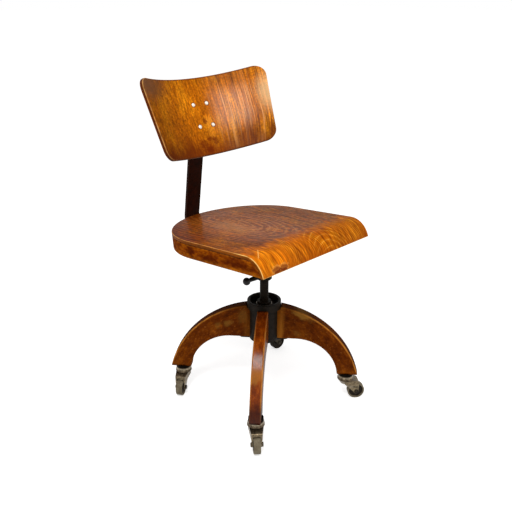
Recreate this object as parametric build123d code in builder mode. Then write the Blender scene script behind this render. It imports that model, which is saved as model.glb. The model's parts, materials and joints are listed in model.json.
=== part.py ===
"""Swivel office chair: bentwood base on casters, screw spindle, rolled seat and tilting backrest.

Millimetres, +Z up, origin on the floor under the spindle. The seat faces -Y.
"""

import os
from math import acos, asin, cos, degrees, radians, sin, sqrt

from build123d import *

os.makedirs("parts", exist_ok=True)

# Fits and clearances
run_fit = 0.06  # radial, a shaft that turns in its bush
slide_fit = 0.08  # radial, the socket and lock nut on the spindle
seat_fit = 0.1  # per side, pieces that are assembled and stay put
hole_fit = 0.2  # radial, a bolt or screw in its hole
face_gap = 0.15  # between flat faces that turn on each other

# Base: four bentwood legs
right_angle = 90
corners = ("front_right", "front_left", "rear_left", "rear_right")
leg_step = 360 / len(corners)
base_turn = -139.9  # direction of the front right leg, in degrees from +X
leg_thickness = 29.3
arch_radius = 262.7  # outer curve of a leg
arch_centre = 18  # height of the outer curve's centre, on the spindle axis
soffit_height = 182.7  # straight underside of a leg at the hub
soffit_start = 87  # where the inner curve leaves the straight underside
soffit_radius = 113
foot_height = 81.1
leg_edge = 3.5
tenon_radius = 22.5  # inner end of a leg, inside the hub

# Hub
hub_radius = 39
collar_radius = 44.7
collar_wall = 7
collar_bottom = 270
collar_height = 20.7
collar_edge = 2
recess_floor_thickness = 6
plate_thickness = 4
tab_width = 20
tab_length = 56
screw_radius = 2.5
screw_head_radius = 5
screw_head_height = 3
leg_screw_length = 28
plate_screw_circle = 30
plate_screw_length = 16

# Spindle and its bearing
spindle_radius = 11.5
spindle_headroom = 58  # seat top to the spindle's upper end
thread_pitch = 5
thread_depth = 1.1
bush_wall = 4
bush_flange_radius = 21
bush_flange = 3
washer_thickness = 2
spindle_collar_radius = 19
spindle_collar_height = 7
end_nut_radius = 19
end_nut_height = 15
end_nut_taper = 7

# Lock nut with lever
lock_drop = 142.8  # seat top to the lower end of the lock nut
lock_height = 24.8
lock_radius = 20
lock_edge = 2.5
arm_reach = 63  # spindle axis to ball centre
arm_radius = 7.5
arm_tip_radius = 5
arm_stud_radius = 3.5
arm_stud_length = 6
ball_radius = 10

# Seat
seat_height = 492.5  # top of the seat on the spindle axis
seat_tilt = 6.3
seat_width = 375
seat_front = 180  # spindle axis to the front of the roll, along the seat
seat_straight = 76  # spindle axis to the end of the straight sides
panel_thickness = 9
roll_radius = 53
rim_depth = 45  # top of the seat to the lower edge of the rim
rim_thickness = 19
dish_radius = 150
dish_depth = 4
dish_shift = 30
bearer_width = 40
bearer_shift = 62

# Seat socket
socket_radius = 17
flange_thickness = 5
flange_width = 150
flange_front = 90
flange_rear = 112
flange_corner = 12
socket_screw_spacing = 110
socket_screw_length = 24

# Back bar
bar_width = 47.2
bar_thickness = 8
bar_start = 23  # spindle axis to the front end of the bar
bar_setback = 41.6  # rear of the seat to the bar's bend
bar_bend = 42
bolt_radius = 4
bolt_head_radius = 7
bolt_head_height = 5
nut_radius = 7.5
nut_height = 6
bolt_overhang = 2
front_bolt_shift = 33
rear_bolt_shift = 97

# Backrest
back_setback = 226.3  # spindle axis to the front of the panel between the rivets
back_rise = 249.5  # seat top to the middle of the rivets
back_tilt = 25.5
back_thickness = 9
back_bend = 335  # radius of the panel's hollow front
back_above = 98.8  # rivet centre to the top edge
back_below = 105.4
back_top_width = 406.6
back_bottom_width = 366.4
back_top_corner = 33
back_bottom_corner = 27
rivet_spacing_across = 44
rivet_spacing_along = 58
rivet_radius = 2.5
rivet_head_radius = 5.1
rivet_head_height = 2
bracket_thickness = 3
bracket_width = 62
bracket_length = 82
ear_thickness = 3
ear_gap = 0.5
ear_base = 40
eye_radius = 11
pivot_offset = 16  # back of the panel to the pivot
pin_radius = 5
pin_head_radius = 8
pin_head_height = 3.5

# Casters
caster_turn = {"front_right": -130, "front_left": -39, "rear_left": -4.5, "rear_right": -146}
wheel_radius = 23.2
tread_width = 18
tread_edge = 2
rim_wall = 4.5
wheel_hub_radius = 8
wheel_web = 7
wheel_hub_proud = 0.5
caster_trail = 30.3
fork_clearance = 1.2
fork_plate = 2.5
fork_eye_radius = 6.5
fork_root_radius = 9.5
fork_root_shift = 4
fork_root_lift = 7  # underside of the crown to the middle of the root
fork_shoulder_radius = 7
fork_shoulder_shift = 30
fork_shoulder_lift = 1
fork_shoulder_width = 39
fork_nose_width = 28  # front of the crown
fork_nose_corner = 3
fork_spread = 13  # underside of the crown down to where the cheeks begin to spread
crown_clearance = 3
axle_radius = 4
axle_head_radius = 6
axle_head_height = 3
axle_nut_height = 3.5
cup_radius = 22.3
cup_lip = 3
cup_step = 1.5
cup_shoulder = 11.3  # top of the cup to its lip
cup_top_radius = 19.5
cup_base_radius = 14
stem_inset = 3  # middle of the foot to the stem, towards the hub
stem_radius = 5
stem_length = 34
stem_head_radius = 8
stem_head_height = 2.5
socket_flange_radius = 19
socket_flange = 6.3
sleeve_wall = 3
sleeve_cap = 3

# Sizes that follow from those above
collar_top = collar_bottom + collar_height
recess_radius = collar_radius - collar_wall
recess_floor = collar_bottom + recess_floor_thickness
bush_radius = spindle_radius + run_fit + bush_wall
thrust_bottom = recess_floor + bush_flange
thrust_top = thrust_bottom + washer_thickness
spindle_collar_bottom = thrust_top + face_gap
spindle_collar_top = spindle_collar_bottom + spindle_collar_height
plate_bottom = soffit_height - plate_thickness
end_nut_top = plate_bottom - face_gap
spindle_bottom = end_nut_top - end_nut_height
spindle_top = seat_height - spindle_headroom
lock_bottom = seat_height - lock_drop
lock_middle = lock_bottom + lock_height / 2
socket_bottom = lock_bottom + lock_height + face_gap

soffit_centre = soffit_height - soffit_radius
foot_inner = soffit_start + sqrt(soffit_radius**2 - (foot_height - soffit_centre) ** 2)
foot_outer = sqrt(arch_radius**2 - (foot_height - arch_centre) ** 2)
foot_middle = (foot_inner + foot_outer) / 2
stem_reach = foot_middle - stem_inset
neck_radius = collar_radius + seat_fit
tenon_top = collar_bottom - seat_fit

half_seat = seat_width / 2
seat_rear = seat_straight + half_seat
bar_heel = seat_rear + bar_setback
roll_angle = degrees(acos(1 - rim_depth / roll_radius))
roll_start = -seat_front + roll_radius * sin(radians(roll_angle))
inner_roll_radius = roll_radius - panel_thickness
rim_front = roll_start - sqrt(inner_roll_radius**2 - (roll_radius - rim_depth) ** 2)
flange_top_depth = rim_depth
bar_top_depth = flange_top_depth + flange_thickness
bar_bottom_depth = bar_top_depth + bar_thickness
seat_beyond = seat_width  # longer than any cut through the seat

back_height = seat_height + back_rise
ear_inner = bar_width / 2 + ear_gap
ear_outer = ear_inner + ear_thickness
back_outer = back_bend + back_thickness
bracket_outer = back_outer + bracket_thickness

fork_inner = tread_width / 2 + fork_clearance
fork_outer = fork_inner + fork_plate
sleeve_radius = stem_radius + run_fit + sleeve_wall
cup_top = foot_height - socket_flange - face_gap
crown_bottom = 2 * wheel_radius + crown_clearance
shoulder_height = crown_bottom + fork_shoulder_lift
fork_waist = crown_bottom - fork_spread
nose_reach = fork_shoulder_shift + fork_shoulder_radius - fork_nose_corner
nose_side = fork_nose_width / 2 - fork_nose_corner
lip_top = cup_top - cup_shoulder
stem_top = foot_height + stem_length

# Frames
tilt = radians(seat_tilt)
seat_plane = Plane((0, 0, seat_height), x_dir=(1, 0, 0), z_dir=(0, sin(tilt), cos(tilt)))
seat_side = Plane((0, 0, seat_height), x_dir=(0, cos(tilt), -sin(tilt)), z_dir=(1, 0, 0))
lean = radians(back_tilt)
back_origin = Vector(0, back_setback, back_height)
back_up = Vector(0, sin(lean), cos(lean))
back_rear = Vector(0, cos(lean), -sin(lean))
back_plane = Plane(back_origin, x_dir=(1, 0, 0), z_dir=-back_rear)
back_side = Plane(back_origin, x_dir=back_rear, z_dir=(1, 0, 0))
back_section = Plane(back_origin, x_dir=(1, 0, 0), z_dir=back_up)
pivot_depth = back_thickness + pivot_offset
pivot = back_origin + back_rear * pivot_depth


def radial_plane(direction, centre=(0, 0, 0)):
    """Upright plane through a vertical axis, with x along a direction and y up."""
    angle = radians(direction)
    return Plane(centre, x_dir=(cos(angle), sin(angle), 0), z_dir=(sin(angle), -cos(angle), 0))


def write(piece, name):
    """Label a finished piece and write its file."""
    piece.part.label = name
    export_step(piece.part, f"parts/{name}.step")


def leg_direction(corner):
    return base_turn + leg_step * corners.index(corner)


def stem_centre(corner):
    angle = radians(leg_direction(corner))
    return (stem_reach * cos(angle), stem_reach * sin(angle))


# Legs: an arched board with a tenon at the hub and a flat foot
def make_leg(corner):
    direction = leg_direction(corner)
    foot_angle = degrees(asin((foot_height - arch_centre) / arch_radius))
    neck_angle = degrees(acos(neck_radius / arch_radius))
    soffit_end = degrees(asin((foot_height - soffit_centre) / soffit_radius))
    with BuildPart() as leg:
        with BuildSketch(radial_plane(direction)):
            with BuildLine():
                soffit = CenterArc((soffit_start, soffit_centre), soffit_radius, 90, soffit_end - 90)
                back = CenterArc((0, arch_centre), arch_radius, foot_angle, neck_angle - foot_angle)
                Line(soffit @ 1, back @ 0)
                Polyline(
                    back @ 1,
                    (neck_radius, tenon_top),
                    (tenon_radius, tenon_top),
                    (tenon_radius, soffit_height),
                    soffit @ 0,
                )
            make_face()
        extrude(amount=leg_thickness / 2, both=True)
        fillet(leg.edges().filter_by(GeomType.CIRCLE), leg_edge)
        with BuildSketch(Plane.XY.offset(foot_height)):
            with Locations(stem_centre(corner)):
                Circle(sleeve_radius + seat_fit)
        extrude(amount=stem_length + sleeve_cap + seat_fit, mode=Mode.SUBTRACT)
        with BuildSketch(Plane.XY.offset(soffit_height)):
            with PolarLocations(tab_length, 1, start_angle=direction):
                Circle(screw_radius + hole_fit)
        extrude(amount=leg_screw_length - plate_thickness + hole_fit, mode=Mode.SUBTRACT)
    write(leg, f"leg_{corner}")


for corner in corners:
    make_leg(corner)

# Hub: a slotted drum under an open collar
with BuildPart() as hub:
    with BuildSketch(Plane.XZ):
        with BuildLine():
            Polyline(
                (bush_radius + seat_fit, soffit_height),
                (hub_radius, soffit_height),
                (hub_radius, collar_bottom),
                (collar_radius, collar_bottom),
                (collar_radius, collar_top),
                (recess_radius, collar_top),
                (recess_radius, recess_floor),
                (bush_radius + seat_fit, recess_floor),
                close=True,
            )
        make_face()
    revolve(axis=Axis.Z)
    fillet(hub.edges().group_by(Axis.Z)[-1], collar_edge)
    with BuildSketch(Plane.XY.offset(soffit_height)):
        with PolarLocations(tenon_radius - seat_fit, len(corners), start_angle=base_turn):
            Rectangle(hub_radius, leg_thickness + 2 * seat_fit, align=(Align.MIN, Align.CENTER))
    extrude(amount=collar_bottom - soffit_height, mode=Mode.SUBTRACT)
    with BuildSketch(Plane.XY.offset(soffit_height)):
        with PolarLocations(plate_screw_circle, len(corners), start_angle=base_turn + leg_step / 2):
            Circle(screw_radius + hole_fit)
    extrude(amount=plate_screw_length - plate_thickness + hole_fit, mode=Mode.SUBTRACT)
write(hub, "hub")

# Hub plate: a disc with a tab under each leg
with BuildPart() as hub_plate:
    with BuildSketch(Plane.XY.offset(plate_bottom)):
        Circle(hub_radius)
        with PolarLocations(0, len(corners), start_angle=base_turn):
            Rectangle(tab_length, tab_width, align=(Align.MIN, Align.CENTER))
        with PolarLocations(tab_length, len(corners), start_angle=base_turn):
            Circle(tab_width / 2)
            Circle(screw_radius + hole_fit, mode=Mode.SUBTRACT)
        with PolarLocations(plate_screw_circle, len(corners), start_angle=base_turn + leg_step / 2):
            Circle(screw_radius + hole_fit, mode=Mode.SUBTRACT)
        Circle(spindle_radius + hole_fit, mode=Mode.SUBTRACT)
    extrude(amount=plate_thickness)
write(hub_plate, "hub_plate")


# Screws that go up through the plate, one ring of them for the legs and one for the hub
def make_plate_screws(circle, start, length, name):
    with BuildPart() as screws:
        with BuildSketch(Plane.XY.offset(plate_bottom - screw_head_height)):
            with PolarLocations(circle, len(corners), start_angle=start):
                Circle(screw_head_radius)
        extrude(amount=screw_head_height)
        fillet(screws.edges().group_by(Axis.Z)[0], screw_head_height / 2)
        with BuildSketch(Plane.XY.offset(plate_bottom)):
            with PolarLocations(circle, len(corners), start_angle=start):
                Circle(screw_radius)
        extrude(amount=length)
    write(screws, name)


make_plate_screws(tab_length, base_turn, leg_screw_length, "leg_screws")
make_plate_screws(plate_screw_circle, base_turn + leg_step / 2, plate_screw_length, "hub_plate_screws")

# Spindle bush with its flange on the floor of the collar
with BuildPart() as spindle_bush:
    with BuildSketch(Plane.XZ):
        with BuildLine():
            Polyline(
                (spindle_radius + run_fit, soffit_height),
                (bush_radius, soffit_height),
                (bush_radius, recess_floor),
                (bush_flange_radius, recess_floor),
                (bush_flange_radius, thrust_bottom),
                (spindle_radius + run_fit, thrust_bottom),
                close=True,
            )
        make_face()
    revolve(axis=Axis.Z)
write(spindle_bush, "spindle_bush")

with BuildPart() as thrust_washer:
    with BuildSketch(Plane.XY.offset(thrust_bottom)):
        Circle(bush_flange_radius)
        Circle(spindle_radius + hole_fit, mode=Mode.SUBTRACT)
    extrude(amount=washer_thickness)
write(thrust_washer, "thrust_washer")

# Spindle: plain journal below, thread above, cut as grooves of the thread's pitch and depth
thread_bottom = spindle_collar_top + thread_pitch
groove_count = int((spindle_top - thread_bottom) / thread_pitch)
with BuildPart() as spindle:
    with BuildSketch(Plane.XY.offset(spindle_bottom)):
        Circle(spindle_radius)
    extrude(amount=spindle_top - spindle_bottom)
    chamfer(spindle.edges().group_by(Axis.Z)[-1], thread_depth)
    with BuildSketch(Plane.XZ):
        for groove in range(groove_count):
            middle = thread_bottom + groove * thread_pitch + thread_pitch / 2
            with BuildLine():
                Polyline(
                    (spindle_radius, middle - thread_depth),
                    (spindle_radius - thread_depth, middle - thread_depth / 2),
                    (spindle_radius - thread_depth, middle + thread_depth / 2),
                    (spindle_radius, middle + thread_depth),
                    close=True,
                )
            make_face()
    revolve(axis=Axis.Z, mode=Mode.SUBTRACT)
write(spindle, "spindle")

with BuildPart() as spindle_collar:
    with BuildSketch(Plane.XY.offset(spindle_collar_bottom)):
        Circle(spindle_collar_radius)
        Circle(spindle_radius + run_fit, mode=Mode.SUBTRACT)
    extrude(amount=spindle_collar_height)
    chamfer(spindle_collar.edges().group_by(Axis.Z)[-1].sort_by(SortBy.LENGTH)[-1], spindle_collar_height / 4)
write(spindle_collar, "spindle_collar")

# End nut: a tapered boss that holds the spindle down
with BuildPart() as spindle_end_nut:
    with BuildSketch(Plane.XZ):
        with BuildLine():
            Polyline(
                (spindle_radius + run_fit, spindle_bottom),
                (end_nut_radius - end_nut_taper / 2, spindle_bottom),
                (end_nut_radius, spindle_bottom + end_nut_taper),
                (end_nut_radius, end_nut_top),
                (spindle_radius + run_fit, end_nut_top),
                close=True,
            )
        make_face()
    revolve(axis=Axis.Z)
write(spindle_end_nut, "spindle_end_nut")

# Lock nut on the spindle, with a ball-ended lever
stud_start = lock_radius - arm_stud_length
with BuildPart() as lock_nut:
    with BuildSketch(Plane.XY.offset(lock_bottom)):
        Circle(lock_radius)
        Circle(spindle_radius + slide_fit, mode=Mode.SUBTRACT)
    extrude(amount=lock_height)
    outer_rims = lock_nut.edges().filter_by(GeomType.CIRCLE).sort_by(SortBy.RADIUS)[-2:]
    chamfer(outer_rims, lock_edge)
    with BuildSketch(Plane.YZ):
        with Locations((0, lock_middle)):
            Circle(arm_stud_radius + seat_fit)
    extrude(amount=-lock_radius, mode=Mode.SUBTRACT)
write(lock_nut, "lock_nut")

ball_seat = arm_reach - sqrt(ball_radius**2 - arm_tip_radius**2)
lever_plane = Plane((0, 0, lock_middle), x_dir=(-1, 0, 0), z_dir=(0, 1, 0))
lever_axis = Axis((0, 0, lock_middle), (-1, 0, 0))
with BuildPart() as lock_arm:
    with BuildSketch(lever_plane):
        with BuildLine():
            Polyline(
                (stud_start, 0),
                (stud_start, arm_stud_radius),
                (lock_radius, arm_stud_radius),
                (lock_radius, arm_radius),
                (ball_seat, arm_tip_radius),
                (ball_seat, arm_stud_radius),
                (arm_reach, arm_stud_radius),
                (arm_reach, 0),
                close=True,
            )
        make_face()
    revolve(axis=lever_axis)
write(lock_arm, "lock_arm")

with BuildPart() as lock_ball:
    with BuildSketch(lever_plane):
        with BuildLine():
            round_side = CenterArc((arm_reach, 0), ball_radius, 0, 180)
            Line(round_side @ 0, round_side @ 1)
        make_face()
    revolve(axis=lever_axis)
    with BuildSketch(Plane.YZ):
        with Locations((0, lock_middle)):
            Circle(arm_stud_radius + seat_fit)
    extrude(amount=-arm_reach - seat_fit, mode=Mode.SUBTRACT)
    with BuildSketch(Plane.YZ.offset(-ball_seat - seat_fit)):
        with Locations((0, lock_middle)):
            Circle(ball_radius)
    extrude(amount=ball_radius, mode=Mode.SUBTRACT)
write(lock_ball, "lock_ball")


# Seat outline: straight sides and a half-round rear, drawn in by an inset
def seat_outline(inset, front):
    with BuildSketch() as outline:
        with BuildLine():
            rear = CenterArc((0, seat_straight), half_seat - inset, 0, 180)
            Polyline(rear @ 1, (inset - half_seat, front), (half_seat - inset, front), rear @ 0)
        make_face()
    return outline.sketch


# Side view of the seat panel
with BuildSketch() as panel_profile:
    with BuildLine():
        under = CenterArc((roll_start, -roll_radius), inner_roll_radius, 90, roll_angle)
        over = CenterArc((roll_start, -roll_radius), roll_radius, 90, roll_angle)
        Line(under @ 1, over @ 1)
        Polyline(over @ 0, (seat_beyond, 0), (seat_beyond, -panel_thickness), under @ 0)
    make_face()

# Side view of all the room above the panel's underside
with BuildSketch() as panel_room:
    with BuildLine():
        under = CenterArc((roll_start, -roll_radius), inner_roll_radius, 90, roll_angle)
        Polyline(
            under @ 1,
            (-seat_beyond, -rim_depth),
            (-seat_beyond, seat_beyond),
            (seat_beyond, seat_beyond),
            (seat_beyond, -panel_thickness),
            under @ 0,
        )
    make_face()

dish_sphere = (dish_radius**2 + dish_depth**2) / (2 * dish_depth)
dish_centre = seat_plane.from_local_coords((0, dish_shift, dish_sphere - dish_depth))
with BuildPart() as seat_panel:
    with BuildSketch(seat_side):
        add(panel_profile.sketch)
    extrude(amount=seat_beyond, both=True)
    with BuildSketch(seat_plane):
        add(seat_outline(0, -seat_beyond))
    extrude(amount=seat_beyond, both=True, mode=Mode.INTERSECT)
    with Locations(dish_centre):
        Sphere(dish_sphere, mode=Mode.SUBTRACT)
write(seat_panel, "seat_panel")

# Rim: a bent band under the panel, open at the front where the panel rolls down
with BuildPart() as seat_rim:
    with BuildSketch(seat_plane.offset(-rim_depth)):
        add(seat_outline(0, rim_front))
        add(seat_outline(rim_thickness, -seat_beyond), mode=Mode.SUBTRACT)
    extrude(amount=rim_depth)
    with BuildSketch(seat_side):
        add(panel_room.sketch)
    extrude(amount=seat_beyond, both=True, mode=Mode.SUBTRACT)
write(seat_rim, "seat_rim")


# Bearers: two boards across the seat, between the sides of the rim
def make_bearer(shift, name):
    with BuildPart() as bearer:
        with BuildSketch(seat_plane.offset(-rim_depth)):
            add(seat_outline(rim_thickness + seat_fit, -seat_beyond))
            with Locations((0, shift)):
                Rectangle(seat_beyond, bearer_width, mode=Mode.INTERSECT)
        extrude(amount=rim_depth - panel_thickness)
        with BuildSketch(seat_plane.offset(-rim_depth)):
            with GridLocations(socket_screw_spacing, 2 * bearer_shift, 2, 2):
                Circle(screw_radius + hole_fit)
        extrude(amount=socket_screw_length - flange_thickness + hole_fit, mode=Mode.SUBTRACT)
    write(bearer, name)


make_bearer(-bearer_shift, "front_bearer")
make_bearer(bearer_shift, "rear_bearer")

# Seat socket: an upright threaded tube with a flange that lies along the seat
flange_middle = (flange_rear - flange_front) / 2
with BuildPart() as seat_socket:
    with BuildSketch(Plane.XY.offset(socket_bottom)):
        Circle(socket_radius)
    extrude(amount=seat_height - socket_bottom)
    with BuildSketch(seat_plane.offset(-bar_top_depth)):
        with Locations((0, flange_middle)):
            RectangleRounded(flange_width, flange_front + flange_rear, flange_corner)
    extrude(amount=flange_thickness)
    with BuildSketch(seat_plane.offset(-flange_top_depth)):
        Rectangle(seat_beyond, seat_beyond)
    extrude(amount=seat_beyond, mode=Mode.SUBTRACT)
    with BuildSketch(Plane.XY.offset(socket_bottom)):
        Circle(spindle_radius + slide_fit)
    extrude(amount=seat_height - socket_bottom, mode=Mode.SUBTRACT)
    with BuildSketch(seat_plane.offset(-bar_top_depth)):
        with GridLocations(socket_screw_spacing, 2 * bearer_shift, 2, 2):
            Circle(screw_radius + hole_fit)
        with Locations((0, front_bolt_shift), (0, rear_bolt_shift)):
            Circle(bolt_radius + hole_fit)
    extrude(amount=flange_thickness, mode=Mode.SUBTRACT)
write(seat_socket, "seat_socket")

with BuildPart() as socket_screws:
    with BuildSketch(seat_plane.offset(-bar_top_depth - screw_head_height)):
        with GridLocations(socket_screw_spacing, 2 * bearer_shift, 2, 2):
            Circle(screw_head_radius)
    extrude(amount=screw_head_height)
    with BuildSketch(seat_plane.offset(-bar_top_depth)):
        with GridLocations(socket_screw_spacing, 2 * bearer_shift, 2, 2):
            Circle(screw_radius)
    extrude(amount=socket_screw_length)
write(socket_screws, "socket_screws")

# Back bar: a flat bar under the seat that turns up behind it and ends in an eye
bar_depth = (bar_top_depth + bar_bottom_depth) / 2
bar_front = seat_plane.from_local_coords((0, bar_start, -bar_depth))
bar_corner = seat_plane.from_local_coords((0, bar_heel, -bar_depth))
with BuildPart() as back_bar:
    with BuildLine() as bar_line:
        FilletPolyline(bar_front, bar_corner, pivot, radius=bar_bend)
    with BuildSketch(Plane(bar_line.line @ 0, x_dir=(1, 0, 0), z_dir=bar_line.line % 0)):
        Rectangle(bar_width, bar_thickness)
    sweep()
    with BuildSketch(back_side):
        with Locations((pivot_depth, 0)):
            Circle(eye_radius)
    extrude(amount=bar_width / 2, both=True)
    with BuildSketch(back_side):
        with Locations((pivot_depth, 0)):
            Circle(pin_radius + run_fit)
    extrude(amount=bar_width / 2, both=True, mode=Mode.SUBTRACT)
    with BuildSketch(seat_plane.offset(-bar_bottom_depth)):
        with Locations((0, front_bolt_shift), (0, rear_bolt_shift)):
            Circle(bolt_radius + hole_fit)
    extrude(amount=bar_thickness, mode=Mode.SUBTRACT)
write(back_bar, "back_bar")

with BuildPart() as bar_bolts:
    with BuildSketch(seat_plane.offset(-bar_bottom_depth - bolt_head_height)):
        with Locations((0, front_bolt_shift), (0, rear_bolt_shift)):
            RegularPolygon(bolt_head_radius, 6)
    extrude(amount=bolt_head_height)
    with BuildSketch(seat_plane.offset(-bar_bottom_depth)):
        with Locations((0, front_bolt_shift), (0, rear_bolt_shift)):
            Circle(bolt_radius)
    extrude(amount=bar_thickness + flange_thickness + nut_height + bolt_overhang)
write(bar_bolts, "bar_bolts")

with BuildPart() as bar_nuts:
    with BuildSketch(seat_plane.offset(-flange_top_depth)):
        with Locations((0, front_bolt_shift), (0, rear_bolt_shift)):
            RegularPolygon(nut_radius, 6)
            Circle(bolt_radius + seat_fit, mode=Mode.SUBTRACT)
    extrude(amount=nut_height)
write(bar_nuts, "bar_nuts")


# A plane on the hollow front of the back panel at a rivet, facing the sitter
def rivet_plane(side, level):
    off_middle = side * rivet_spacing_across / 2
    angle = asin(off_middle / back_bend)
    sag = back_bend * (1 - cos(angle))
    point = back_plane.from_local_coords((off_middle, level * rivet_spacing_along / 2, sag))
    facing = back_rear * -cos(angle) - Vector(sin(angle), 0, 0)
    return Plane(point, x_dir=back_up, z_dir=facing)


rivet_planes = [rivet_plane(side, level) for side in (-1, 1) for level in (-1, 1)]

# Back panel: a bent board, wider at the top, with large upper corners
with BuildPart() as back_panel:
    with BuildSketch(back_section.offset(-back_below)):
        with Locations((0, -back_bend)):
            Circle(back_outer)
            Circle(back_bend, mode=Mode.SUBTRACT)
        Rectangle(2 * back_outer, back_bend, align=(Align.CENTER, Align.CENTER), mode=Mode.INTERSECT)
    extrude(amount=back_above + back_below)
    with BuildSketch(back_plane) as back_outline:
        with BuildLine():
            Polyline(
                (-back_bottom_width / 2, -back_below),
                (back_bottom_width / 2, -back_below),
                (back_top_width / 2, back_above),
                (-back_top_width / 2, back_above),
                close=True,
            )
        make_face()
        fillet(back_outline.vertices().group_by(Axis.Y)[-1], back_top_corner)
        fillet(back_outline.vertices().group_by(Axis.Y)[0], back_bottom_corner)
    extrude(amount=back_bend / 2, both=True, mode=Mode.INTERSECT)
    for plane in rivet_planes:
        with BuildSketch(plane.offset(back_thickness)):
            Circle(rivet_radius + hole_fit)
        extrude(amount=-3 * back_thickness, mode=Mode.SUBTRACT)
write(back_panel, "back_panel")

# Back bracket: a curved plate behind the panel with two ears for the pin
with BuildPart() as back_bracket:
    with BuildSketch(back_section.offset(-bracket_length / 2)):
        with Locations((0, -back_bend)):
            Circle(bracket_outer)
            Circle(back_outer, mode=Mode.SUBTRACT)
        Rectangle(bracket_width, back_bend, mode=Mode.INTERSECT)
    extrude(amount=bracket_length)
    for side in (-1, 1):
        with BuildSketch(back_side.offset(side * ear_inner)):
            with Locations((back_thickness + bracket_thickness / 2, 0)):
                Rectangle(bracket_thickness / 2, ear_base)
            with Locations((pivot_depth, 0)):
                Circle(eye_radius)
            make_hull()
            with Locations((pivot_depth, 0)):
                Circle(pin_radius + seat_fit, mode=Mode.SUBTRACT)
        extrude(amount=side * ear_thickness)
    for plane in rivet_planes:
        with BuildSketch(plane):
            Circle(rivet_radius + hole_fit)
        extrude(amount=-2 * (back_thickness + bracket_thickness), mode=Mode.SUBTRACT)
write(back_bracket, "back_bracket")

rivet_length = back_thickness + bracket_thickness
rivet_lift = rivet_head_radius**2 / back_bend  # clears the hollow under a flat head
with BuildPart() as back_rivets:
    for plane in rivet_planes:
        with BuildSketch(plane.offset(-rivet_length - rivet_head_height)):
            Circle(rivet_head_radius)
        extrude(amount=rivet_head_height)
        with BuildSketch(plane.offset(-rivet_length)):
            Circle(rivet_radius)
        extrude(amount=rivet_length + rivet_lift)
        with BuildSketch(plane.offset(rivet_lift)):
            Circle(rivet_head_radius)
        extrude(amount=rivet_head_height, taper=45)
write(back_rivets, "back_rivets")

# Pivot pin of the backrest, headed at one end, with a cap nut at the other
with BuildPart() as back_pin:
    with BuildSketch(back_side.offset(-ear_outer - pin_head_height)):
        with Locations((pivot_depth, 0)):
            Circle(pin_head_radius)
    extrude(amount=pin_head_height)
    with BuildSketch(back_side.offset(-ear_outer)):
        with Locations((pivot_depth, 0)):
            Circle(pin_radius)
    extrude(amount=2 * ear_outer + pin_head_height)
write(back_pin, "back_pin")

with BuildPart() as back_pin_nut:
    with BuildSketch(back_side.offset(ear_outer)):
        with Locations((pivot_depth, 0)):
            RegularPolygon(pin_head_radius, 6)
            Circle(pin_radius + seat_fit, mode=Mode.SUBTRACT)
    extrude(amount=pin_head_height)
write(back_pin_nut, "back_pin_nut")


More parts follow.
